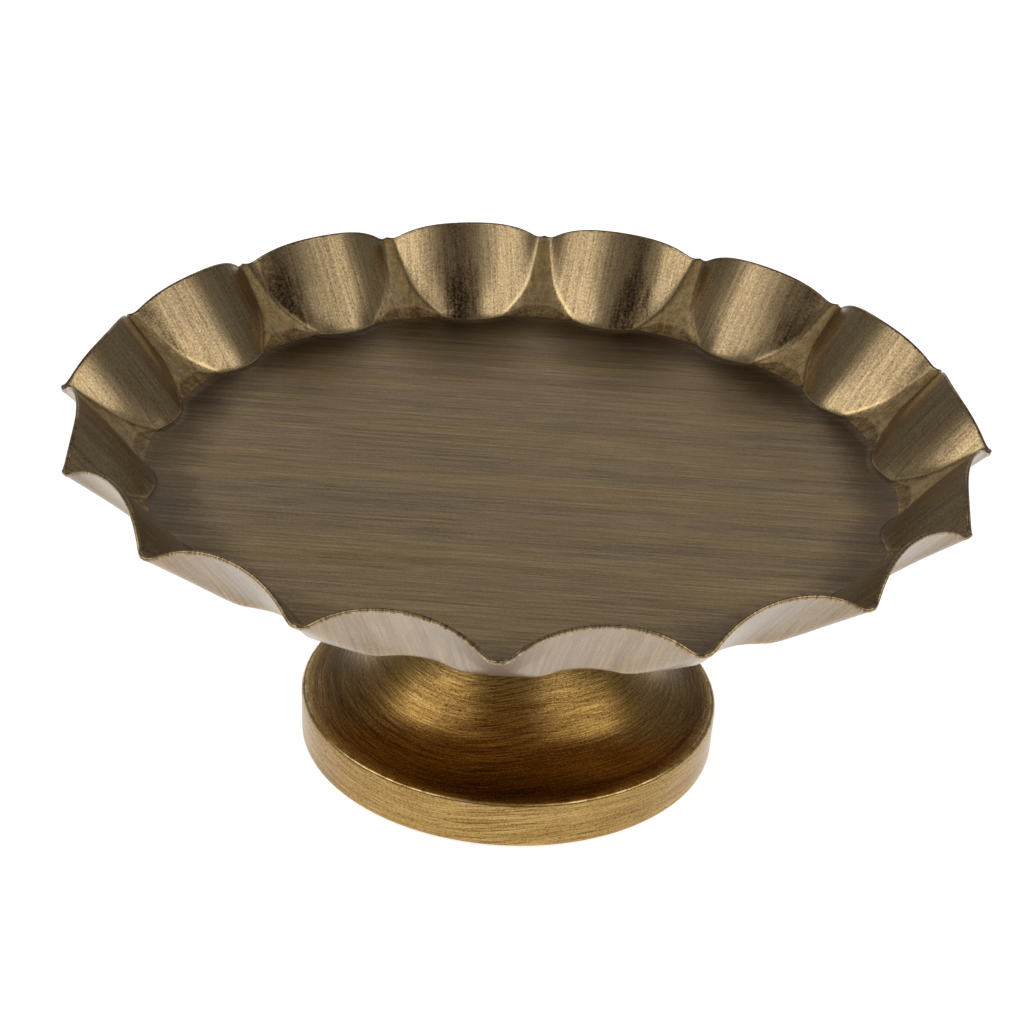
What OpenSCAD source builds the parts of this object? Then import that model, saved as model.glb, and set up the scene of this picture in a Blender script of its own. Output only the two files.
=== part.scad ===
// Fluted cake stand: a pressed metal dish bolted to a spun trumpet foot.
// Millimetres, +Z up, origin at the centre of the footprint on the table.

/* [Stand] */
// Height of the dish's flat floor above the table
floor_z = 99.5; // [85:0.5:130]
// Thickness of the pressed and spun sheet
sheet_t = 1.2; // [0.8:0.1:1.4]

/* [Dish] */
// Number of flutes pressed into the rim
flutes = 16; // [14:1:18]
// Radius of the flat floor between the flutes
floor_r = 122.4; // [120:0.1:125]
// Radius that the tip of each flute reaches on the floor
flute_tip_r = 118.2; // [115:0.1:119]
// Radius of the rim edge at the middle of each flute
crest_r = 142.5; // [140:0.1:145]
// Radius of the rim edge at the points between the flutes
point_r = 150.2; // [149:0.1:154]
// How far the points of the rim are rounded off
point_round = 1.2; // [0.5:0.1:3]
// Shape of the rim's curve from point to point: 1 is a sine curve, less is fuller
crest_fullness = 0.8; // [0.7:0.05:1]
// Height of the rim edge above the floor at the middle of each flute
crest_rise = 29; // [24:0.5:34]
// Radius of the press tool that forms a flute
flute_tool_r = 38; // [35:0.5:42]
// Radius of the tool's rounded nose, at the flute's lower end
flute_nose_r = 19.5; // [17:0.5:24]
// Distance over which the tool widens from its nose to its full radius
flute_nose_l = 12; // [8:1:20]
// Rise of the plain wall between the flutes for each millimetre outwards
valley_slope = 0.77; // [0.6:0.01:0.85]
// How softly one flute runs into the next, measured as a height
flute_blend = 3; // [2:0.5:10]

/* [Foot] */
// Radius of the foot at its lower edge
foot_r = 70; // [60:1:85]
// Height of the foot's upright side wall
foot_wall_h = 17; // [12:0.5:22]
// Amount that the side wall leans outwards by its top
foot_flare = 0.4; // [0:0.1:1.5]
// Slope of the foot's top just inside its edge, in degrees
foot_edge_slope = 10; // [5:1:20]
// Slope where the foot's dished top runs into the stem, in degrees
stem_slope = 48; // [40:1:55]
// Radius of the dished top's curve, seen from the side
dish_curve_r = 35; // [25:1:40]
// Width of the flange turned in under the side wall
hem_w = 8; // [5:0.5:12]

/* [Fixings] */
// Radius of the disc that stiffens the dish around its stud
backing_r = 30; // [26:1:45]
// Thickness of the stiffening disc
backing_t = 1.6; // [1:0.1:3]
// Radius of the threaded stud
stud_r = 4; // [3:0.5:5]
// Length of the threaded stud below the dish
stud_l = 20; // [18:1:26]
// Thickness of the gasket between the dish and the stem
gasket_t = 1; // [0.5:0.1:2]
// Radius of the flat washer inside the stem
washer_r = 15; // [12:0.5:17]
// Thickness of the felt under the foot
felt_t = 0.8; // [0.5:0.1:2]

/* [Hidden] */
$fn = 80;

// Heights of the stack that the nut clamps together, from the dish downwards
plate_under_z = floor_z - sheet_t;
backing_z = plate_under_z - backing_t;
stem_top_z = backing_z - gasket_t;
washer_t = 1.6;
spring_t = 2;
nut_t = 1.6 * stud_r;
washer_z = stem_top_z - sheet_t - washer_t;
spring_z = washer_z - spring_t;
nut_z = spring_z - nut_t;

// Dish: mesh density and the flat disc at its centre
arc_steps = 12;
wall_rows = 8;
disc_r = 108;
half_pitch = 180 / flutes;
flute_slope = crest_rise / (crest_r - flute_tip_r);
probe = 0.05;

// Foot: radii of its small bends, and the curve that carries the dished top up to the stem
edge_bend_r = 1.5;
shoulder_bend_r = 2;
bend_steps = 4;
curve_steps = 7;
foot_top_r = foot_r + foot_flare;
stud_clear = 0.5;

// The larger of two heights, with a rounded inner corner of the given softness
function soft_max(a, b, k) =
    let (h = max(k - abs(a - b), 0))
    max(a, b) + h * h / (4 * k);

// Radius of the press tool at a distance from the dish's axis: the nose widens once it's past the floor
function tool_r(out) =
    let (share = min(max((out - floor_r) / flute_nose_l, 0), 1))
    flute_nose_r + (flute_tool_r - flute_nose_r) * sin(90 * share);

// Height above the floor of one flute, at radius r and angle u from its middle
function flute_h(r, u) =
    let (out = r * cos(u), tool = tool_r(out))
    let (curve = tool - sqrt(max(tool * tool - pow(r * sin(u), 2), 1)))
    (out - curve - flute_tip_r) * flute_slope;

// Height above the floor of the whole pressed wall
function wall_h(r, u) =
    let (own = flute_h(r, u), next = flute_h(r, 2 * half_pitch - abs(u)))
    soft_max(soft_max(own, next, flute_blend), (r - floor_r) * valley_slope, flute_blend);

// Radius of the rim edge with its rounded points, and of the line where the wall leaves the floor
function eased(apart, soft) = sqrt(apart * apart + soft * soft) - soft;
function rim_r(u) =
    let (soft = point_round * 180 / PI / point_r)
    let (from_point = eased(half_pitch - abs(u), soft) / eased(half_pitch, soft))
    point_r - (point_r - crest_r) * pow(sin(90 * from_point), crest_fullness);
function crease_r(u) =
    let (nose_c = flute_tip_r + flute_nose_r)
    let (far = pow(flute_nose_r, 2) - pow(nose_c * sin(u), 2))
    let (tip = nose_c * cos(u) - sqrt(max(far, 0)))
    far > 0 ? min(tip, floor_r) : floor_r;

// Steepness of the wall, from small steps outwards and around
function steepness(r, u) =
    let (out = (wall_h(r + probe, u) - wall_h(r - probe, u)) / (2 * probe))
    let (turn = probe * 180 / PI / r)
    let (around = (wall_h(r, u + turn) - wall_h(r, u - turn)) / (2 * probe))
    sqrt(1 + out * out + around * around);

// Angles of one flute's columns, closer together towards the points of the rim
column_u = [for (i = [0:arc_steps - 1]) half_pitch * sin(90 * (2 * i / arc_steps - 1))];
columns = flutes * arc_steps;

function column_angle(c) =
    -90 + half_pitch * (2 * floor(c / arc_steps) + 1) + column_u[c % arc_steps];
function ring_point(r, a, z) = [r * cos(a), r * sin(a), z];

// One vertical loop of the sheet: inside face from the disc out to the rim, then back underneath
function inner_r(u, s) = crease_r(u) + s * (rim_r(u) - crease_r(u));
function inner_z(r, u, s) = floor_z + (s == 0 ? 0 : max(wall_h(r, u), 0));
function outer_r(u, s) =
    let (tilt = steepness(inner_r(u, s), u))
    inner_r(u, s) + sheet_t * (s == 0 ? (tilt - 1) / sqrt(tilt * tilt - 1) : sqrt(1 - 1 / (tilt * tilt)));
function outer_z(r, u, s) =
    s == 0 ? plate_under_z : max(floor_z + wall_h(r, u) - sheet_t * steepness(r, u), plate_under_z);

function sheet_loop(c) =
    let (u = column_u[c % arc_steps], a = column_angle(c))
    concat(
        [ring_point(disc_r, a, floor_z)],
        [for (i = [0:wall_rows])
            let (s = i / wall_rows, r = inner_r(u, s))
            ring_point(r, a, inner_z(r, u, s))],
        [for (i = [wall_rows:-1:0])
            let (s = i / wall_rows, r = outer_r(u, s))
            ring_point(r, a, outer_z(r, u, s))],
        [ring_point(disc_r, a, plate_under_z)]
    );

// The fluted wall with the outer part of the floor, as one closed ring of sheet
module fluted_ring() {
    loop_n = 2 * wall_rows + 4;
    points = [for (c = [0:columns - 1]) each sheet_loop(c)];
    faces = [for (c = [0:columns - 1], i = [0:loop_n - 1])
        let (here = c * loop_n, there = ((c + 1) % columns) * loop_n, j = (i + 1) % loop_n)
        each [[here + i, there + j, here + j], [here + i, there + i, there + j]]];
    polyhedron(points = points, faces = faces, convexity = 8);
}

module plate() {
    color("#7a6440")
    union() {
        fluted_ring();
        translate([0, 0, plate_under_z])
        cylinder(h = sheet_t, r = disc_r + 1, $fn = columns);
    }
}

// A flat ring standing on z, with its hole
module flat_ring(z, h, r, hole_r) {
    translate([0, 0, z])
    difference() {
        cylinder(h = h, r = r);
        translate([0, 0, -1])
        cylinder(h = h + 2, r = hole_r);
    }
}

module backing_disc() {
    color("#6b5a3a")
    flat_ring(backing_z, backing_t, backing_r, stud_r);
}

module weld_stud() {
    chamfer = stud_r / 5;
    color("#9a9a96")
    translate([0, 0, plate_under_z - stud_l])
    rotate_extrude()
    polygon([[0, 0], [stud_r - chamfer, 0], [stud_r, chamfer], [stud_r, stud_l], [0, stud_l]]);
}

module seat_gasket() {
    color("#2b2a28")
    flat_ring(stem_top_z, gasket_t, stem_r() - shoulder_bend_r, stud_r + stud_clear);
}

// Points along an arc about a centre, from one angle to another
function arc_points(centre, r, from, to, steps) =
    [for (i = [0:steps])
        let (a = from + (to - from) * i / steps)
        centre + r * [cos(a), sin(a)]];

// Centres of the bends in the foot's profile, as [radius, height]
edge_c = [foot_top_r - edge_bend_r, felt_t + foot_wall_h - edge_bend_r];
edge_end = edge_c + edge_bend_r * [sin(foot_edge_slope), cos(foot_edge_slope)];
dish_c = edge_end + dish_curve_r * [sin(foot_edge_slope), cos(foot_edge_slope)];
dish_end = dish_c - dish_curve_r * [sin(stem_slope), cos(stem_slope)];
stem_curve_r = (stem_top_z - shoulder_bend_r - dish_end[1]) / cos(stem_slope);
stem_c = dish_end + stem_curve_r * [sin(stem_slope), cos(stem_slope)];
function stem_r() = stem_c[0] - stem_curve_r;

// The foot's outer line from the side wall up to the stem's flat top, pushed in by a depth
function foot_line(depth) = concat(
    arc_points(edge_c, edge_bend_r - depth, 0, 90 - foot_edge_slope, bend_steps),
    arc_points(dish_c, dish_curve_r + depth, 270 - foot_edge_slope, 270 - stem_slope, curve_steps),
    arc_points(stem_c, stem_curve_r + depth, 270 - stem_slope, 180, curve_steps),
    arc_points([stem_r() - shoulder_bend_r, stem_top_z - shoulder_bend_r],
               shoulder_bend_r - depth, 0, 90, bend_steps)
);

module pedestal() {
    hem_c = [foot_r - edge_bend_r, felt_t + edge_bend_r];
    hem_in = foot_r - hem_w;
    hole = stud_r + stud_clear;
    outer = foot_line(0);
    inner = foot_line(sheet_t);
    color("#8a6a2c")
    rotate_extrude()
    polygon(concat(
        [[hem_in, felt_t]],
        arc_points(hem_c, edge_bend_r, 270, 360, bend_steps),
        outer,
        [[hole, stem_top_z], [hole, stem_top_z - sheet_t]],
        [for (i = [len(inner) - 1:-1:0]) inner[i]],
        arc_points(hem_c, edge_bend_r - sheet_t, 360, 270, bend_steps),
        [[hem_in, felt_t + sheet_t]]
    ));
}

module clamp_washer() {
    color("#a8a7a2")
    flat_ring(washer_z, washer_t, washer_r, stud_r + stud_clear);
}

// Split ring, pressed flat by the nut
module spring_washer() {
    slit = 1.2;
    color("#8d8c88")
    difference() {
        flat_ring(spring_z, spring_t, 1.75 * stud_r, stud_r + stud_clear);
        translate([0, -slit / 2, spring_z - 1])
        cube([2 * stud_r, slit, spring_t + 2]);
    }
}

module hex_nut() {
    corner_r = 1.875 * stud_r;
    chamfer = corner_r * (1 - cos(30)) * 0.9;
    color("#b3b2ad")
    translate([0, 0, nut_z])
    difference() {
        intersection() {
            cylinder(h = nut_t, r = corner_r, $fn = 6);
            rotate_extrude()
            polygon([[0, 0], [corner_r - chamfer, 0], [corner_r, chamfer / 2],
                     [corner_r, nut_t - chamfer / 2], [corner_r - chamfer, nut_t], [0, nut_t]]);
        }
        translate([0, 0, -1])
        cylinder(h = nut_t + 2, r = stud_r);
    }
}

module felt_ring() {
    inset = 0.6;
    color("#3a3a36")
    flat_ring(0, felt_t, foot_r - edge_bend_r - inset, foot_r - hem_w + inset);
}

plate();
backing_disc();
weld_stud();
seat_gasket();
pedestal();
clamp_washer();
spring_washer();
hex_nut();
felt_ring();
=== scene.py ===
"""Looks of the fluted cake stand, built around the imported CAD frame.

Shapes are worked out in millimetres, like the CAD's, and stored in metres. +Z is up.
"""

import math

import bpy
import numpy as np
from mathutils import Matrix, Vector


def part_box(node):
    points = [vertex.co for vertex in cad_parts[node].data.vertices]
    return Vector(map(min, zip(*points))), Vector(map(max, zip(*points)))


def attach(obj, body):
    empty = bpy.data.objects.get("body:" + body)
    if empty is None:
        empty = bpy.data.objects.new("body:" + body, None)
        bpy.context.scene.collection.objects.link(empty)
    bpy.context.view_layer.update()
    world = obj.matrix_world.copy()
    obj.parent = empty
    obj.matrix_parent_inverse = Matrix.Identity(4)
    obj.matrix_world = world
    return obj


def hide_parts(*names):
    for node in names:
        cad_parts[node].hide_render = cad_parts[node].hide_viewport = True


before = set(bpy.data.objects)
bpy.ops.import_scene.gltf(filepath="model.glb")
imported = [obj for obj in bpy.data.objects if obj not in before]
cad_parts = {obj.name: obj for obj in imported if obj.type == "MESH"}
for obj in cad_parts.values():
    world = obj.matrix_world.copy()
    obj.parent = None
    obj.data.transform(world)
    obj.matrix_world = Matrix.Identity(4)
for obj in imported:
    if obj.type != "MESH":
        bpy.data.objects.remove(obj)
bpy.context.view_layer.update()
MM = 0.001
FULL_TURN = 2 * math.pi

# ---------------------------------------------------------------- sizes, in millimetres

# the dish, whose wall is the higher of the pressed flutes and a plain cone
FLUTES = 16
HALF = math.pi / FLUTES  # half of the angle that one flute takes
TIP_R = 118.2  # where a flute's middle meets the floor
CREST_R = 142.5  # the rim at a flute's middle
RISE = 29.0  # height of the rim there
POINT_R = 150.2  # the rim between two flutes
POINT_ROUND = 1.2 / 148.0  # rounding of the rim's points, as an angle
CREST_FULLNESS = 0.8  # below 1, the rim leaves its points more steeply
NOSE_R = 19.5  # radius of the pressing tool at its nose
NOSE_L = 12.0  # length over which the tool widens
TOOL_R = 38.0  # radius of the tool behind its nose
FLOOR_R = 122.4  # where the cone meets the floor
ARCH_R = 127.0  # where the cone bends
ARCH_BLEND = 0.8  # rounding of that bend
VALLEY_LOW = 0.68  # slope of the cone below the bend
VALLEY_TOP = 21.3  # height of the cone at the rim's points
BLEND = 2.2  # rounding between the flutes and the cone
FILLET = 2.0  # rounding between the wall and the floor
SHEET = 1.2  # thickness of the dish and of the foot
BEAD_R = 0.75  # radius of the bead along the cut edge
BEAD_INSET = 0.45  # how far inside the cut edge the bead starts
FLOOR_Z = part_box("plate")[0].z / MM + SHEET

# the dish's mesh: columns to a flute, and rings from the middle out
COLUMNS = 44
CROWDING = 0.4  # share by which columns gather near the rim's points
FLAT_RADII = (3.0, 6.0, 9.0, 13.0, 20.0, 35.0, 55.0, 75.0, 95.0)
FLOOR_SHARES = (0.4, 0.7, 0.88, 1.0)  # of the way from the flat rings to the crease
CREASE_STEPS = (-1.8, -1.1, -0.5, 0.0, 0.5, 1.1, 1.8, 2.6)  # from the crease
WALL_STEPS = 25
BEAD_DEGREES = np.linspace(-25, 205, 9)
FLAT_ROWS = len(FLAT_RADII) + len(FLOOR_SHARES) - 1  # rings that lie flat on the floor
FLOOR_ROWS = len(FLAT_RADII) + len(FLOOR_SHARES) + CREASE_STEPS.index(0.5)  # rings up to the crease
CREASE_RANGE = (105.0, 128.0)  # the crease lies between these radii
HALVINGS = 30
FLUTE_SHIFT = 0.731  # step in the noise from one flute to the next, so that no two are alike

# the dish's materials, in the order of their slots
FLOOR, FLUTE, RIM, OUTSIDE, UNDERSIDE = range(5)

# the fixings: the M8 stud, and the holes that it passes through
STUD_R = 4.0
CLEAR_R = 4.5

# ---------------------------------------------------------------- meshes


def mesh_object(name, points, faces, smooth_deg=35):
    """A smooth-shaded mesh from points in millimetres. Edges above smooth_deg stay sharp."""
    mesh = bpy.data.meshes.new(name)
    mesh.from_pydata([tuple(p) for p in np.asarray(points) * MM], [], faces)
    mesh.update()
    obj = bpy.data.objects.new(name, mesh)
    bpy.context.scene.collection.objects.link(obj)
    mesh.shade_smooth()
    mesh.set_sharp_from_angle(angle=math.radians(smooth_deg))
    return obj


def store_vectors(mesh, name, values, domain="CORNER"):
    """Adds an attribute that the materials read, with one vector for every corner or point."""
    layer = mesh.attributes.new(name, "FLOAT_VECTOR", domain)
    layer.data.foreach_set("vector", np.asarray(values, np.float32).ravel())


def arc(centre, radius, start, stop, steps):
    """Points on an arc, from one angle in degrees to another."""
    angles = np.radians(np.linspace(start, stop, steps))
    return [(centre[0] + radius * math.cos(a), centre[1] + radius * math.sin(a)) for a in angles]


def quad_grid(rows, columns, close_rows):
    """Quads between the rings of a grid, and each quad's row and column. Every ring is closed."""
    last_row = rows if close_rows else rows - 1
    row, column = np.meshgrid(np.arange(last_row), np.arange(columns), indexing="ij")
    next_row, next_column = (row + 1) % rows, (column + 1) % columns
    corners = (row, column), (next_row, column), (next_row, next_column), (row, next_column)
    quads = np.stack([r * columns + c for r, c in corners], -1).reshape(-1, 4)
    return quads.tolist(), row, column


def around(angle, outline):
    """A (radius, height) outline stood up at an angle about the Z axis."""
    outline = np.asarray(outline, float)
    c, s = math.cos(angle), math.sin(angle)
    return np.stack([outline[:, 0] * c, outline[:, 0] * s, outline[:, 1]], -1)


def lathe(name, profile, segments=192, smooth_deg=35):
    """A turned piece from its closed (radius, height) outline, anticlockwise in the r-z plane.

    Its "turn" attribute holds the angle about the axis, from +Y, and the length along the outline
    in metres.
    """
    outline = np.array(profile, float)
    angles = np.linspace(0, FULL_TURN, segments, endpoint=False) + math.pi / 2
    rings = np.array([around(angle, outline) for angle in angles])
    quads, step, k = quad_grid(segments, len(outline), True)
    obj = mesh_object(name, rings.reshape(-1, 3), quads, smooth_deg)
    length = np.linalg.norm(np.diff(np.concatenate([outline, outline[:1]]), axis=0), axis=-1)
    length = np.concatenate([[0], np.cumsum(length)]) * MM
    corners = (step, k), (step + 1, k), (step + 1, k + 1), (step, k + 1)
    turn = [np.stack([i * FULL_TURN / segments, length[j], 0 * j], -1) for i, j in corners]
    store_vectors(obj.data, "turn", np.stack(turn, 2))
    return obj


def swept(name, rings, smooth_deg=35, closed=True):
    """A skin over rings of points. The last ring joins the first, or else both ends are capped."""
    rings = np.asarray(rings, float)
    count, size = rings.shape[:2]
    faces = quad_grid(count, size, closed)[0]
    if not closed:
        faces += [list(range(size)), list(range(count * size - 1, (count - 1) * size - 1, -1))]
    return mesh_object(name, rings.reshape(-1, 3), faces, smooth_deg)


# ---------------------------------------------------------------- the dish


def soft_max(a, b, k):
    """The larger of two heights, with a rounded inner corner."""
    h = np.maximum(k - np.abs(a - b), 0)
    return np.maximum(a, b) + h * h / (4 * k)


def flute_height(r, u):
    """One flute, pressed by a tool whose rounded nose widens outwards."""
    out = r * np.cos(u)
    share = np.clip((out - FLOOR_R) / NOSE_L, 0, 1)
    tool = NOSE_R + (TOOL_R - NOSE_R) * np.sin(math.pi / 2 * share)
    curve = tool - np.sqrt(np.maximum(tool**2 - (r * np.sin(u)) ** 2, 1))
    return (out - curve - TIP_R) * RISE / (CREST_R - TIP_R)


def valley_height(r):
    """The plain wall between the flutes: gentle up to the arch, then steeper up to the rim."""
    arch = (ARCH_R - FLOOR_R) * VALLEY_LOW
    upper = arch + (r - ARCH_R) * (VALLEY_TOP - arch) / (POINT_R - ARCH_R)
    return soft_max((r - FLOOR_R) * VALLEY_LOW, upper, ARCH_BLEND)


def wall_height(r, u):
    """Height of the pressed wall above the floor, at radius r and angle u from a flute's middle."""
    own = flute_height(r, u)
    beside = flute_height(r, 2 * HALF - np.abs(u))
    return soft_max(soft_max(own, beside, BLEND), valley_height(r), BLEND)


def rim_radius(u):
    """Radius of the cut edge, with its points slightly rounded."""
    w = HALF - np.abs(u)
    w = np.sqrt(w * w + POINT_ROUND**2) - POINT_ROUND
    w = w * HALF / (math.hypot(HALF, POINT_ROUND) - POINT_ROUND)
    return POINT_R - (POINT_R - CREST_R) * np.sin(math.pi / 2 * w / HALF) ** CREST_FULLNESS


def crease_radius(u):
    """Radius at which the wall leaves the floor, by halving the stretch that holds it."""
    low, high = (np.full(u.shape, r) for r in CREASE_RANGE)
    for _ in range(HALVINGS):
        middle = (low + high) / 2
        above = wall_height(middle, u) > 0
        high = np.where(above, middle, high)
        low = np.where(above, low, middle)
    return high


def ring_radii(u):
    """Radii of the dish's rings: over the floor, closer together at the crease, then up the wall."""
    crease = crease_radius(u)
    end = rim_radius(u) - BEAD_INSET
    past = CREASE_STEPS[-1]
    radii = [np.full(len(u), r) for r in FLAT_RADII]
    radii += [(crease - past) * share + FLAT_RADII[-1] * (1 - share) for share in FLOOR_SHARES]
    radii += [crease + step for step in CREASE_STEPS]
    shares = np.linspace(0, 1, WALL_STEPS + 1)[1:]
    radii += [crease + past + (end - crease - past) * share for share in shares]
    return np.array(radii)


def flute_of(columns):
    """Each column's flute, and the direction that the flute faces."""
    flute = np.arange(columns) // COLUMNS
    return flute, HALF * (2 * flute + 1) - math.pi / 2


def dish_sides(r, angle, height):
    """Rings of points on the sheet's upper side, round the bead of its edge, and on its under side."""
    inner = np.stack([r * np.cos(angle), r * np.sin(angle), FLOOR_Z + height], -1)
    along_row = np.gradient(inner, axis=0)
    along_ring = np.roll(inner, -1, 1) - np.roll(inner, 1, 1)
    normal = np.cross(along_row, along_ring)
    normal /= np.linalg.norm(normal, axis=-1, keepdims=True)
    outer = inner - SHEET * normal
    up_wall = along_row[-1] / np.linalg.norm(along_row[-1], axis=-1, keepdims=True)
    middle = (inner[-1] + outer[-1]) / 2
    turns = np.radians(BEAD_DEGREES)
    bead = [middle + BEAD_R * (math.cos(a) * normal[-1] + math.sin(a) * up_wall) for a in turns]
    return inner, np.array(bead), outer


def closing_fans(rows, columns):
    """Triangles from the first and the last ring to the two middle points, which come after them."""
    across = np.arange(columns)
    beside = (across + 1) % columns
    last = (rows - 1) * columns
    top = np.full(columns, rows * columns)
    fan_top = np.stack([top, across, beside], -1).tolist()
    fan_under = np.stack([top + 1, last + beside, last + across], -1).tolist()
    return fan_top + fan_under


def corner_maps(rings, slant, u, row, column):
    """The "brush" and "place" values at the four corners of every quad."""
    flute, direction = flute_of(len(u))
    own_strokes = np.broadcast_to(flute * FLUTE_SHIFT + 1.0, row.shape)
    facing = np.broadcast_to(direction, row.shape)
    radius = np.hypot(rings[..., 0], rings[..., 1])
    wall_length = slant.max(0)
    u_beside = np.roll(u, -1)
    u_beside[COLUMNS - 1 :: COLUMNS] = HALF
    next_column = (column + 1) % len(u)
    corners = [(row, column, u), (row + 1, column, u)]
    corners += [(row + 1, next_column, u_beside), (row, next_column, u_beside)]
    brush, place, flat = [], [], []
    for at_row, at_column, at_angle in corners:
        off_middle = radius[at_row, at_column] * np.sin(at_angle)
        along = slant[at_row, at_column]
        brush.append(np.stack([along * MM, off_middle * MM, own_strokes], -1))
        share = off_middle / (POINT_R * math.sin(HALF))
        place.append(np.stack([share, along / wall_length[at_column], facing], -1))
        flat.append(rings[at_row, at_column] * MM * [1, 1, 0])
    brush, place, flat = (np.stack(values, 2) for values in (brush, place, flat))
    on_floor = (row < FLOOR_ROWS) | (row >= len(rings) - 1 - FLOOR_ROWS)
    brush[on_floor] = flat[on_floor]
    return brush.reshape(-1, 3), place.reshape(-1, 3)


def dish_slots(upper_rows, bead_rows, columns):
    """The material slot of every face."""
    upper, lower = upper_rows - 1, upper_rows + bead_rows
    under = 2 * upper_rows + bead_rows - 1 - FLOOR_ROWS
    slot = np.full((under + FLOOR_ROWS, columns), FLOOR)
    slot[FLOOR_ROWS:upper] = FLUTE
    slot[upper:lower] = RIM
    slot[lower:under] = OUTSIDE
    slot[under:] = UNDERSIDE
    fans = [np.full(columns, FLOOR), np.full(columns, UNDERSIDE)]
    return np.concatenate([slot.ravel(), *fans]).astype(np.int32)


def build_dish():
    """The pressed sheet: its upper side, bead and under side as one skin.

    Its attributes are for the materials. "brush" is metres along and across the brush strokes,
    which run up the wall and along X on the floor. "place" is the share across a flute, the share
    up its wall, and the direction that it faces. "relief" is how far the flute stands above the
    cone, and the height above the floor, both in millimetres.
    """
    t = np.linspace(-1, 1, COLUMNS, endpoint=False)
    u = np.tile(HALF * ((1 - CROWDING) * t + CROWDING * np.sin(t * math.pi / 2)), FLUTES)
    columns = len(u)
    r = ring_radii(u)
    height = soft_max(wall_height(r, u), 0.0, FILLET)
    height[:FLAT_ROWS] = 0
    inner, bead, outer = dish_sides(r, flute_of(columns)[1] + u, height)
    rings = np.concatenate([inner, bead, outer[::-1]])
    rows = len(rings)
    middles = [[0, 0, FLOOR_Z], [0, 0, FLOOR_Z - SHEET]]
    points = np.concatenate([rings.reshape(-1, 3), middles])
    quads, row, column = quad_grid(rows, columns, False)
    fans = closing_fans(rows, columns)
    dish = mesh_object("plate_skin", points, quads + fans, 50)

    def both_sides(values):
        """Values of the upper side's rings, carried over the bead and down the under side."""
        return np.concatenate([values, np.repeat(values[-1:], len(bead), 0), values[::-1]])

    steps = np.linalg.norm(np.diff(inner, axis=0), axis=-1)
    slant = np.concatenate([np.zeros((1, columns)), np.cumsum(steps, 0)])
    brush, place = corner_maps(rings, both_sides(slant - slant[FLOOR_ROWS]), u, row, column)
    fan_points = points[np.array(fans).ravel()] * MM * [1, 1, 0]
    store_vectors(dish.data, "brush", np.concatenate([brush, fan_points]))
    store_vectors(dish.data, "place", np.concatenate([place, fan_points * 0]))
    proud = flute_height(r, u) - np.maximum(valley_height(r), 0)
    relief = both_sides(np.stack([proud, height, 0 * height], -1))
    relief = np.concatenate([relief.reshape(-1, 3), np.zeros((2, 3))])
    store_vectors(dish.data, "relief", relief, "POINT")
    slots = dish_slots(len(inner), len(bead), columns)
    dish.data.polygons.foreach_set("material_index", slots)
    return dish


# ---------------------------------------------------------------- the foot


def build_foot():
    """The spun foot: the CAD's outline with finer curves and a rounded hem."""
    felt_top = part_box("felt_ring")[1].z / MM
    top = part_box("pedestal")[1].z / MM
    foot_r, flare, wall_h, hem_w = 70.0, 0.4, 17.0, 7.7
    edge_r, dish_r, shoulder_r = 1.5, 35.0, 2.0
    edge_deg, stem_deg = 10.0, 48.0
    edge_sin, edge_cos = math.sin(math.radians(edge_deg)), math.cos(math.radians(edge_deg))
    stem_sin, stem_cos = math.sin(math.radians(stem_deg)), math.cos(math.radians(stem_deg))
    edge_c = (foot_r + flare - edge_r, felt_top + wall_h - edge_r)
    reach = edge_r + dish_r
    dish_c = (edge_c[0] + reach * edge_sin, edge_c[1] + reach * edge_cos)
    dish_end = (dish_c[0] - dish_r * stem_sin, dish_c[1] - dish_r * stem_cos)
    stem_r = (top - shoulder_r - dish_end[1]) / stem_cos
    stem_c = (dish_end[0] + stem_r * stem_sin, dish_end[1] + stem_r * stem_cos)
    shoulder_c = (stem_c[0] - stem_r - shoulder_r, top - shoulder_r)
    hem_c = (foot_r - edge_r, felt_top + edge_r)
    hem_in = foot_r - hem_w

    def surface(depth):
        """The outline from the wall's edge to the stem's top, at a depth under the outer face."""
        return (
            arc(edge_c, edge_r - depth, 0, 90 - edge_deg, 9)
            + arc(dish_c, dish_r + depth, 270 - edge_deg, 270 - stem_deg, 28)[1:]
            + arc(stem_c, stem_r + depth, 270 - stem_deg, 180, 30)[1:]
            + arc(shoulder_c, shoulder_r - depth, 0, 90, 8)[1:]
        )

    straight = wall_h - 2 * edge_r
    wall = [(foot_r + flare * f, felt_top + edge_r + straight * f) for f in (0.33, 0.67)]
    profile = (
        [(hem_in, felt_top)]
        + arc(hem_c, edge_r, 270, 360, 9)
        + wall
        + surface(0)
        + [(CLEAR_R, top), (CLEAR_R, top - SHEET)]
        + surface(SHEET)[::-1]
        + arc(hem_c, edge_r - SHEET, 360, 270, 5)
        + [(hem_in, felt_top + SHEET)]
        + arc((hem_in, felt_top + SHEET / 2), SHEET / 2, 90, 270, 7)[1:-1]
    )
    return lathe("pedestal_skin", profile, 256)


# ---------------------------------------------------------------- the fixings


def span_z(node):
    """The lowest and highest point of a CAD node."""
    low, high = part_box(node)
    return low.z / MM, high.z / MM


def ring_outline(inner, outer, low, high, soft):
    """Outline of a flat ring with softened edges."""
    left, right, bottom, top = inner + soft, outer - soft, low + soft, high - soft
    centres = (left, bottom), (right, bottom), (right, top), (left, top)
    points = []
    for centre, start in zip(centres, (180, 270, 0, 90)):
        points += arc(centre, soft, start, start + 90, 4)
    return points


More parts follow.
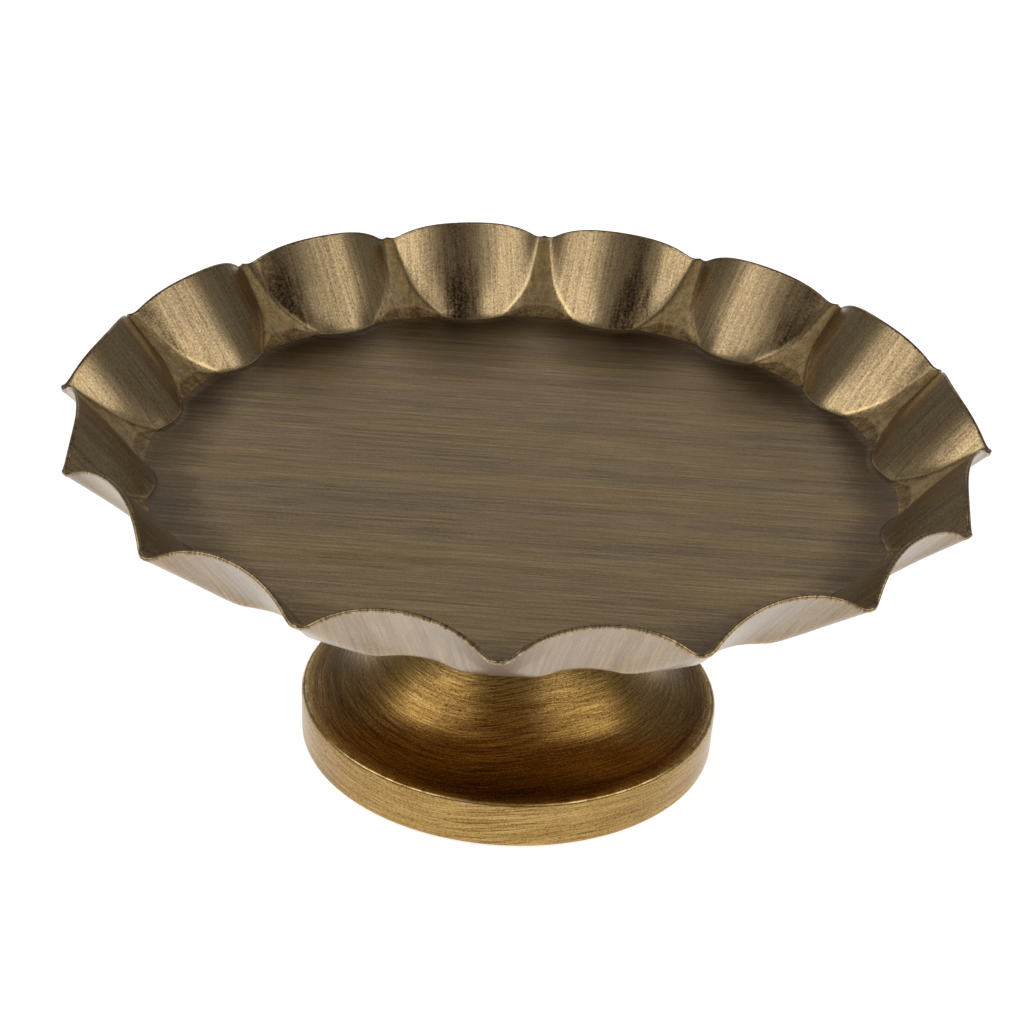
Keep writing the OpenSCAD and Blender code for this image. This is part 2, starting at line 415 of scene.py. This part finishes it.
def build_backing():
    """The stiffening disc, with the small pits that its spot welds leave underneath."""
    low, high = span_z("backing_disc")
    outer, soft = 30.0, 0.5
    spot_ring, spot_r, depth, spots = 22.0, 2.4, 0.3, 6
    pitted = np.arange(18.0, 26.5, 0.4)
    outline = [(STUD_R, low), *((r, low) for r in pitted)]
    outline += arc((outer - soft, low + soft), soft, 270, 360, 5)
    outline += arc((outer - soft, high - soft), soft, 0, 90, 5)
    outline += [(STUD_R, high)]
    obj = lathe("backing_disc_skin", outline, 240)
    for vertex in obj.data.vertices:
        if vertex.co.z < (low + 0.1) * MM:
            angle = math.atan2(vertex.co.y, vertex.co.x)
            near = round(angle * spots / FULL_TURN) * FULL_TURN / spots
            x = vertex.co.x / MM - spot_ring * math.cos(near)
            y = vertex.co.y / MM - spot_ring * math.sin(near)
            away = min(math.hypot(x, y) / spot_r, 1.0)
            vertex.co.z += depth * MM * (1 - away**3) ** 2
    return obj


def build_stud():
    """The stud's helical thread, with a chamfered end."""
    low, high = span_z("weld_stud")
    pitch, deep, chamfer, axis_gap, steps = 1.25, 0.62, 1.0, 0.02, 40
    heights = np.arange(low, high, pitch / 10)
    rings = []
    for step in range(steps):
        turn = step / steps
        phase = np.abs(((heights - low) / pitch - turn) % 1.0 - 0.5) * 2
        groove = np.clip(phase * 1.3 - 0.15, 0, 1)  # flat at the thread's crests and roots
        radius = STUD_R - deep * groove
        radius = np.minimum(radius, STUD_R - chamfer + (heights - low))
        outline = [(axis_gap, low), *zip(radius, heights), (axis_gap, heights[-1])]
        rings.append(around(turn * FULL_TURN, outline))
    return swept("stud_thread", rings, 25)


def build_nut():
    """A hexagon nut with chamfered corners and countersunk thread ends."""
    low, high = span_z("hex_nut")
    corner_r = 1.875 * STUD_R
    flat_r = corner_r * math.cos(math.pi / 6)
    face_r, sink, chamfer_slope, steps = flat_r * 0.96, 0.45, 0.6, 96
    rings = []
    for step in range(steps):
        angle = step / steps * FULL_TURN
        side = flat_r / math.cos((angle % (math.pi / 3)) - math.pi / 6)
        cut = (side - face_r) * chamfer_slope
        outline = [(STUD_R, high - sink), (STUD_R, low + sink), (STUD_R + sink, low), (face_r, low)]
        outline += [(side, low + cut), (side, high - cut), (face_r, high), (STUD_R + sink, high)]
        rings.append(around(angle, outline))
    return swept("nut_skin", rings, 20)


def build_lock_washer():
    """The split ring: one coil of square wire, cut through."""
    outer, cut = 1.75 * STUD_R, 1.2
    half_cut = math.asin(cut / (CLEAR_R + outer))
    outline = ring_outline(CLEAR_R, outer, *span_z("spring_washer"), 0.25)
    angles = np.linspace(half_cut, FULL_TURN - half_cut, 90)
    rings = [around(angle, outline) for angle in angles]
    return swept("lock_washer_skin", rings, 30, closed=False)


def build_washer():
    """The flat washer inside the stem's closed top."""
    outline = ring_outline(CLEAR_R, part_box("clamp_washer")[1].x / MM, *span_z("clamp_washer"), 0.3)
    return lathe("washer_skin", outline, 128)


def build_gasket():
    """The ring between the dish and the stem."""
    outline = ring_outline(CLEAR_R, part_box("seat_gasket")[1].x / MM, *span_z("seat_gasket"), 0.35)
    return lathe("gasket_skin", outline, 128)


def build_felt():
    """The felt ring, with a slightly woolly edge."""
    low, high = span_z("felt_ring")
    inner, outer = 62.7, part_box("felt_ring")[1].x / MM - 0.05
    middle_r, glued = 65.0, 0.05
    obj = lathe("felt_skin", ring_outline(inner, outer, low + 0.02, high, 0.3), 720, 80)
    wool = np.random.default_rng(4).normal(0, 0.04, len(obj.data.vertices))
    for vertex, push in zip(obj.data.vertices, wool):
        if vertex.co.z < (high - glued) * MM:
            shift = 1 + np.clip(push, -0.1, 0.08) / middle_r
            vertex.co.x *= shift
            vertex.co.y *= shift
    return obj


# ---------------------------------------------------------------- node materials


class Shader:
    """Builds one node material."""

    def __init__(self, name):
        self.mat = bpy.data.materials.new(name)
        self.mat.use_nodes = True
        self.tree = self.mat.node_tree
        self.tree.nodes.clear()
        self.out = self.tree.nodes.new("ShaderNodeOutputMaterial")

    def node(self, kind, inputs=None, **settings):
        made = self.tree.nodes.new("ShaderNode" + kind)
        for key, value in settings.items():
            setattr(made, key, value)
        for key, value in (inputs or {}).items():
            self.put(made.inputs[key], value)
        return made

    def put(self, socket, value):
        if isinstance(value, bpy.types.NodeSocket):
            self.tree.links.new(value, socket)
        else:
            socket.default_value = value

    def math(self, op, a, b=0.0, c=0.0):
        return self.node("Math", {0: a, 1: b, 2: c}, operation=op).outputs[0]

    def times(self, a, b):
        return self.math("MULTIPLY", a, b)

    def minus(self, a, b):
        return self.math("SUBTRACT", a, b)

    def gain(self, value, share, amount):
        """The value, raised by the amount where the share is 1."""
        return self.math("MULTIPLY_ADD", share, amount, value)

    def swing(self, value, noise, amount):
        """The value, moved up and down by a noise around 0.5."""
        return self.gain(value, self.minus(noise, 0.5), amount)

    def span(self, value, low, high, out_low=0.0, out_high=1.0):
        """A smooth step from one value to another, between low and high."""
        inputs = {0: value, 1: low, 2: high, 3: out_low, 4: out_high}
        return self.node("MapRange", inputs, interpolation_type="SMOOTHSTEP").outputs[0]

    def attribute(self, name):
        return self.node("Attribute", attribute_name=name).outputs["Vector"]

    def position(self):
        return self.node("TexCoord").outputs["Object"]

    def split(self, vector):
        return self.node("SeparateXYZ", {0: vector}).outputs

    def join(self, x, y, z):
        return self.node("CombineXYZ", {0: x, 1: y, 2: z}).outputs[0]

    def distance(self, vector, point):
        return self.node("VectorMath", {0: vector, 1: point}, operation="DISTANCE").outputs["Value"]

    def noise(self, vector, stretch, detail=3.0, rough=0.55):
        """Noise with its own stretch along each part of the vector, or one stretch for all three."""
        if not isinstance(stretch, tuple):
            stretch = (stretch,) * 3
        moved = self.node("VectorMath", {0: vector, 1: stretch}, operation="MULTIPLY").outputs[0]
        inputs = {"Vector": moved, "Scale": 1.0, "Detail": detail, "Roughness": rough}
        return self.node("TexNoise", inputs).outputs["Fac"]

    def mix(self, share, a, b, blend="MIX"):
        made = self.node("Mix", {0: share}, data_type="RGBA", blend_type=blend)
        self.put(made.inputs[6], a)
        self.put(made.inputs[7], b)
        return made.outputs[2]

    def tinted(self, color, share, tint):
        return self.mix(share, color, self.mix(1.0, color, (*tint, 1), "MULTIPLY"))

    def ramp(self, value, stops):
        made = self.node("ValToRGB", {0: value})
        elements = made.color_ramp.elements
        elements[0].position, elements[0].color = stops[0][0], (*stops[0][1], 1)
        elements[1].position, elements[1].color = stops[-1][0], (*stops[-1][1], 1)
        for place, color in stops[1:-1]:
            elements.new(place).color = (*color, 1)
        return made.outputs[0]

    def finish(self, color, rough, height=None, bump=0.00003, metal=1.0, coat=0.0, **extra):
        inputs = {"Base Color": color, "Roughness": rough, "Metallic": metal, "Coat Weight": coat}
        inputs.update({"Coat Roughness": 0.28, **extra})
        if height is not None:
            bumped = self.node("Bump", {"Height": height, "Distance": bump, "Strength": 1.0})
            inputs["Normal"] = bumped.outputs[0]
        shader = self.node("BsdfPrincipled", inputs)
        self.tree.links.new(shader.outputs[0], self.out.inputs[0])
        return self.mat


# ---------------------------------------------------------------- brushed brass

BRUSHED = (
    (0.15, (0.03, 0.019, 0.01)),
    (0.38, (0.17, 0.112, 0.058)),
    (0.6, (0.4, 0.29, 0.145)),
    (0.9, (0.66, 0.53, 0.33)),
)
AMBER = (
    (0.15, (0.014, 0.006, 0.001)),
    (0.38, (0.16, 0.077, 0.014)),
    (0.58, (0.46, 0.305, 0.1)),
    (0.9, (0.68, 0.55, 0.3)),
)
COOL_TINT = (1.0, 0.985, 1.04)
WARM_TINT = (1.04, 0.935, 0.68)
TURN_R = 0.055  # radius, in metres, of the circle on which turned pieces take their noise


def brush_of(sh):
    """Coordinates in which strokes run along X, on a pressed piece."""
    return sh.attribute("brush")


def turn_of(sh):
    """Coordinates in which strokes run round the axis, with no seam, on a turned piece."""
    turn = sh.split(sh.attribute("turn"))
    x = sh.times(sh.math("COSINE", turn[0]), TURN_R)
    z = sh.times(sh.math("SINE", turn[0]), TURN_R)
    return sh.join(x, turn[1], z)


def brushed(name, vector_of, offset=0.0, contrast=1.0, grain=0.3, rough=0.3, coat=0.15,
            colors=BRUSHED, sizes=(90, 650, 1900), tints=(30, 150), marks=None, fade=None, **shading):
    """Dark bronze with gold dry-brushed over it. A larger offset is more gold.

    marks adds a surface's own wear. It gives the new value, an extra roughness and a share of the
    warm tint, or None for either. fade holds the colours that the surface has down at the floor.
    """
    sh = Shader(name)
    vector = vector_of(sh)
    turned = vector_of is turn_of
    wide = sh.noise(vector, (5, sizes[0], 5 if turned else 1), 2)
    middle = sh.noise(vector, (16, sizes[1], 16 if turned else 1.7), 3, 0.6)
    thin = sh.noise(vector, (60, sizes[2], 60 if turned else 2.3), 2)
    value = sh.gain(sh.gain(sh.times(middle, 0.4), wide, 0.25), thin, 0.35)
    value = sh.swing(0.5 + offset, value, contrast)
    speckle = sh.noise(sh.position(), 1400, 2, 0.7)
    value = sh.swing(value, speckle, grain)
    matt, warm = None, None
    if marks is not None:
        value, matt, warm = marks(sh, vector, value)
    color = sh.ramp(value, colors)
    if fade is not None:
        height = sh.split(sh.attribute("relief"))[1]
        color = sh.mix(sh.span(height, 0.0, 6.0), sh.ramp(value, fade), color)
    color = sh.tinted(color, sh.span(sh.noise(vector, (*tints, 3.1), 2), 0.35, 0.65), COOL_TINT)
    if warm is not None:
        color = sh.tinted(color, warm, WARM_TINT)
    roughness = sh.span(value, 0.3, 0.7, rough + 0.05, rough - 0.03)
    if matt is not None:
        roughness = sh.math("ADD", roughness, matt)
    if "Anisotropic" in shading:
        shading["Tangent"] = sh.node("Tangent", direction_type="RADIAL", axis="Z").outputs[0]
    return sh.finish(color, roughness, sh.gain(middle, thin, 0.5), coat=coat, **shading)


def flat_place(sh):
    """The place seen from above, and its distance from the axis."""
    place = sh.split(sh.position())
    flat = sh.join(place[0], place[1], 0.0)
    return flat, sh.distance(flat, (0, 0, 0))


def floor_marks(sh, vector, value):
    """Painted shade along the foot of the wall, stray scratches, a painted highlight and painted shade
    on the two sides of the weld's faint dent, warm bands.
    """
    flat, radius = flat_place(sh)
    # painted shade: the floor darker towards the foot of the wall
    ragged = sh.swing(radius, sh.noise(flat, 45), 0.02)
    value = sh.minus(value, sh.span(ragged, 0.1, 0.119, 0.0, 0.15))
    scratch = sh.noise(vector, (90, 1500, 1), 2)
    value = sh.math("ADD", value, sh.span(scratch, 0.68, 0.76, 0.0, 0.16))
    # painted highlight and painted shade side by side, standing in for the weld's faint dent, which the
    # mesh doesn't have
    for centre, strength in (((-0.0025, 0.008, 0), 0.12), ((-0.0025, 0.0084, 0), -0.12)):
        spot = sh.span(sh.distance(flat, centre), 0.0012, 0.0018, strength, 0.0)
        value = sh.math("ADD", value, spot)
    warm = sh.span(sh.noise(vector, (4, 55, 5), 3, 0.6), 0.38, 0.64, 0.0, 0.6)
    return value, None, warm


def worn_edge(sh, proud, height, patchy):
    """Where gold is worn through along a flute's edge: patchy, and less of it higher up."""
    edge = sh.times(sh.span(proud, -0.2, 0.3), sh.span(proud, 0.3, 1.3, 1.0, 0.0))
    edge = sh.times(edge, sh.span(patchy, 0.25, 0.6, 0.45, 1.0))
    return sh.times(edge, sh.span(height, 4.0, 14.0, 1.0, 0.4))


def valley_tone(sh, proud, height, patchy):
    """Between two flutes: darker below the arch, brighter above it, mottled, with a pale line on it."""
    above = sh.minus(height, sh.span(proud, -6.0, 0.0, 3.6, 1.4))
    darker = sh.span(above, -0.8, 0.5, 0.06, -0.14)
    darker = sh.swing(darker, sh.noise(sh.position(), 330, 4, 0.75), 0.75)
    line = sh.span(sh.math("ABSOLUTE", above), 0.1, 0.6, 0.1, 0.0)
    line = sh.times(line, sh.span(patchy, 0.35, 0.6, 0.2, 1.0))
    return sh.minus(line, darker)


def smudge_and_painted_reflection(sh, place, proud, patchy):
    """A dark band down each flute, partly patina and partly a painted reflection. It moves across the
    flute from one side of the dish to the other.
    """
    pick = sh.node("TexWhiteNoise", {"W": place[2]}, noise_dimensions="1D").outputs["Value"]
    # the band's place follows the way the flute faces, as a painted reflection
    centre = sh.gain(sh.gain(-0.1, sh.math("COSINE", place[2]), -1.2), pick, 0.1)
    away = sh.math("ABSOLUTE", sh.minus(place[0], centre))
    ragged = sh.gain(-0.25, patchy, 0.5)
    band = sh.span(sh.math("ADD", away, ragged), 0.03, 0.28, 1.0, 0.0)
    reach = sh.minus(sh.math("ADD", place[1], ragged), sh.gain(0.45, pick, 0.3))
    band = sh.times(band, sh.span(reach, -0.3, 0.3, 1.0, 0.35))
    return sh.times(band, sh.span(proud, -0.2, 0.8))


def flute_marks(sh, vector, value):
    """The wall's wear: gold on the flutes' edges, dark creases, mottled valleys, dark smudges that are
    partly a painted reflection.
    """
    proud, height, _ = sh.split(sh.attribute("relief"))
    place = sh.split(sh.attribute("place"))
    patchy = sh.noise(vector, (70, 260, 1), 3, 0.65)
    crease = sh.span(sh.math("ABSOLUTE", sh.math("ADD", proud, 0.9)), 0.1, 1.1, 1.0, 0.0)
    value = sh.gain(value, crease, -0.12)
    valley = sh.span(proud, -1.2, -0.2, 1.0, 0.0)
    value = sh.gain(value, valley, valley_tone(sh, proud, height, patchy))
    # dark band: patina, and partly a painted reflection
    band = smudge_and_painted_reflection(sh, place, proud, patchy)
    spots = sh.span(sh.noise(vector, (900, 900, 1), 2, 0.7), 0.35, 0.65, 0.45, 1.0)
    value = sh.gain(value, sh.times(band, spots), -0.4)
    edge = worn_edge(sh, proud, height, patchy)
    value = sh.gain(value, edge, 0.27)
    warm = sh.times(valley, sh.span(patchy, 0.3, 0.65, 0.35, 1.0))
    for share, strength in ((edge, 0.8), (band, 0.5)):
        warm = sh.math("MAXIMUM", warm, sh.times(share, strength))
    return value, sh.times(valley, 0.17), warm


def foot_marks(sh, vector, value):
    """Strokes that cross at a slight angle, specks, painted shade and a painted warm reflection in the
    dished part, gold on the edge.
    """
    angle = sh.split(sh.attribute("turn"))[0]
    x, along, z = sh.split(vector)
    for waves, swing in ((3.0, 0.0035), (2.0, -0.005), (5.0, 0.0018)):
        lean = sh.gain(along, sh.math("SINE", sh.times(angle, waves)), swing)
        value = sh.swing(value, sh.noise(sh.join(x, lean, z), (60, 2700, 60), 2, 0.6), 0.22)
    place = sh.position()
    value = sh.minus(value, sh.span(sh.noise(place, 950, 2, 0.6), 0.64, 0.72, 0.0, 0.14))
    height = sh.split(place)[2]
    radius = flat_place(sh)[1]
    inside = sh.span(radius, 0.0655, 0.069, 1.0, 0.0)
    # painted shade in the dished part under the dish, deeper lower down
    value = sh.minus(value, sh.times(inside, sh.span(height, 0.015, 0.05, 0.085, 0.03)))
    edge = sh.times(sh.span(radius, 0.0682, 0.0692), sh.span(height, 0.0166, 0.0174))
    ragged = sh.span(sh.noise(place, 260, 3, 0.7), 0.42, 0.6, 0.0, 0.24)
    # painted warm reflection of the dish's gold underside in the dished part, stronger lower down
    warm = sh.times(inside, sh.span(height, 0.02, 0.06, 0.6, 0.2))
    return sh.gain(value, edge, ragged), None, warm


# ---------------------------------------------------------------- other materials


def plated(name):
    """Zinc-plated steel: mottled, with fine scratches."""
    sh = Shader(name)
    mottle = sh.noise(sh.position(), 420, 4, 0.6)
    scratch = sh.noise(sh.position(), (500, 500, 5200), 2)
    value = sh.gain(sh.times(mottle, 0.55), scratch, 0.45)
    grays = ((0.25, (0.2, 0.19, 0.17)), (0.5, (0.42, 0.41, 0.38)), (0.8, (0.6, 0.6, 0.58)))
    return sh.finish(sh.ramp(value, grays), sh.span(value, 0.3, 0.7, 0.45, 0.28), value, 0.00002)


def soft_sheet(name, dark, light, size, bump, sheen):
    """Rubber or felt: matt, with a fine grain."""
    sh = Shader(name)
    grain = sh.noise(sh.position(), size, 5, 0.7)
    cloud = sh.noise(sh.position(), 90, 2)
    color = sh.ramp(sh.gain(sh.times(cloud, 0.3), grain, 0.7), ((0.3, dark), (0.7, light)))
    return sh.finish(color, 0.9, grain, bump, metal=0.0, **{"Sheen Weight": sheen})


def glowing_white(name):
    """The pale floor, which glows a little so that it stays white under the soft light."""
    glow = {"Emission Color": (1, 1, 1, 1), "Emission Strength": 0.75}
    return Shader(name).finish((0.9, 0.9, 0.9, 1), 0.9, metal=0.0, **glow)


# ---------------------------------------------------------------- the pieces


def place_part(obj, node, slot_name, *materials):
    """Gives a piece its materials and its body, and hides the CAD node that it replaces. The slot name
    is not used.
    """
    for material in materials:
        obj.data.materials.append(material)
    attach(obj, "root")
    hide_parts(node)


place_part(
    build_dish(), "plate", "antique_brass",
    brushed("floor_brushed", brush_of, 0.0, 0.85, 0.2, rough=0.34, sizes=(60, 800, 2400),
            tints=(3, 25), marks=floor_marks),
    brushed("flute_brushed", brush_of, 0.05, 0.78, 0.6, marks=flute_marks),
    brushed("rim_edge", brush_of, 0.0, 1.4, 0.5, sizes=(250, 1500, 2800)),
    brushed("outside_brushed", brush_of, -0.04, 0.55, 0.22, coat=0.5, fade=AMBER),
    brushed("underside_brushed", brush_of, -0.08, 0.8, colors=AMBER),
)
foot_metal = brushed("foot_brushed", turn_of, 0.01, 0.6, 0.32, rough=0.25, colors=AMBER,
                     sizes=(200, 2200, 4500), marks=foot_marks, Anisotropic=0.7)
place_part(build_foot(), "pedestal", "antique_brass", foot_metal)

zinc = plated("zinc_plated")
rubber = soft_sheet("rubber_sheet", (0.012, 0.011, 0.01), (0.04, 0.037, 0.033), 1500, 0.00004, 0.1)
wool_felt = soft_sheet("wool_felt", (0.02, 0.02, 0.017), (0.085, 0.083, 0.07), 2600, 0.0002, 0.6)
disc_metal = brushed("disc_brushed", turn_of, 0.0, 0.8)
place_part(build_backing(), "backing_disc", "antique_brass", disc_metal)
place_part(build_stud(), "weld_stud", "zinc_steel", zinc)
place_part(build_nut(), "hex_nut", "zinc_steel", zinc)
place_part(build_lock_washer(), "spring_washer", "zinc_steel", zinc)
place_part(build_washer(), "clamp_washer", "zinc_steel", zinc)
place_part(build_gasket(), "seat_gasket", "gasket_rubber", rubber)
place_part(build_felt(), "felt_ring", "felt", wool_felt)

# ---------------------------------------------------------------- stage, lights and camera, in metres

SIDE = 12.0
corners = [(-SIDE, -SIDE, 0), (SIDE, -SIDE, 0), (SIDE, SIDE, 0), (-SIDE, SIDE, 0)]
floor_mesh = bpy.data.meshes.new("floor")
floor_mesh.from_pydata(corners, [], [(0, 1, 2, 3)])
floor_mesh.materials.append(glowing_white("floor_white"))
floor = bpy.data.objects.new("floor", floor_mesh)
bpy.context.scene.collection.objects.link(floor)

world = bpy.data.worlds.new("studio")
bpy.context.scene.world = world
world.use_nodes = True
background = world.node_tree.nodes["Background"]
background.inputs["Color"].default_value = (1, 1, 1, 1)
background.inputs["Strength"].default_value = 0.2

AIM = Vector((0, 0, 0.09))


def softbox(name, place, width, height, power):
    """A rectangular light that faces the stand."""
    data = bpy.data.lights.new(name, "AREA")
    data.shape = "RECTANGLE"
    data.size, data.size_y = width, height
    data.energy = power
    lamp = bpy.data.objects.new(name, data)
    bpy.context.scene.collection.objects.link(lamp)
    lamp.location = place
    lamp.rotation_mode = "QUATERNION"
    lamp.rotation_quaternion = (AIM - Vector(place)).to_track_quat("-Z", "Y")


softbox("left_box", (-1.12, -0.55, 1.05), 1.5, 0.9, 7.5)
softbox("right_box", (1.12, -0.55, 1.05), 1.5, 0.9, 7)
softbox("back_box", (-0.1, 1.4, 0.9), 1.4, 0.7, 1.2)

LENS, SENSOR = 98.39, 36.0
DISTANCE = 0.92138
ELEVATION, ROLL, TURN = math.radians(28.642), math.radians(3.307), math.radians(1.463)
TARGET = Vector((-0.00234, 0, 0.0855))
camera_data = bpy.data.cameras.new("camera")
camera_data.lens, camera_data.sensor_width = LENS, SENSOR
camera_data.clip_start, camera_data.clip_end = 0.05, 60
camera = bpy.data.objects.new("camera", camera_data)
bpy.context.scene.collection.objects.link(camera)
bpy.context.scene.camera = camera
back = Vector((0, -math.cos(ELEVATION), math.sin(ELEVATION)))
up = Vector((0, math.sin(ELEVATION), math.cos(ELEVATION)))
right = Vector((1, 0, 0))
tilted_x = right * math.cos(ROLL) + up * math.sin(ROLL)
tilted_y = up * math.cos(ROLL) - right * math.sin(ROLL)
axes = Matrix((tilted_x, tilted_y, back)).transposed().to_4x4()
axes.translation = TARGET + back * DISTANCE
camera.matrix_world = Matrix.Rotation(TURN, 4, "Z") @ axes

bpy.context.scene.view_settings.view_transform = "Standard"
bpy.context.scene.view_settings.look = "None"
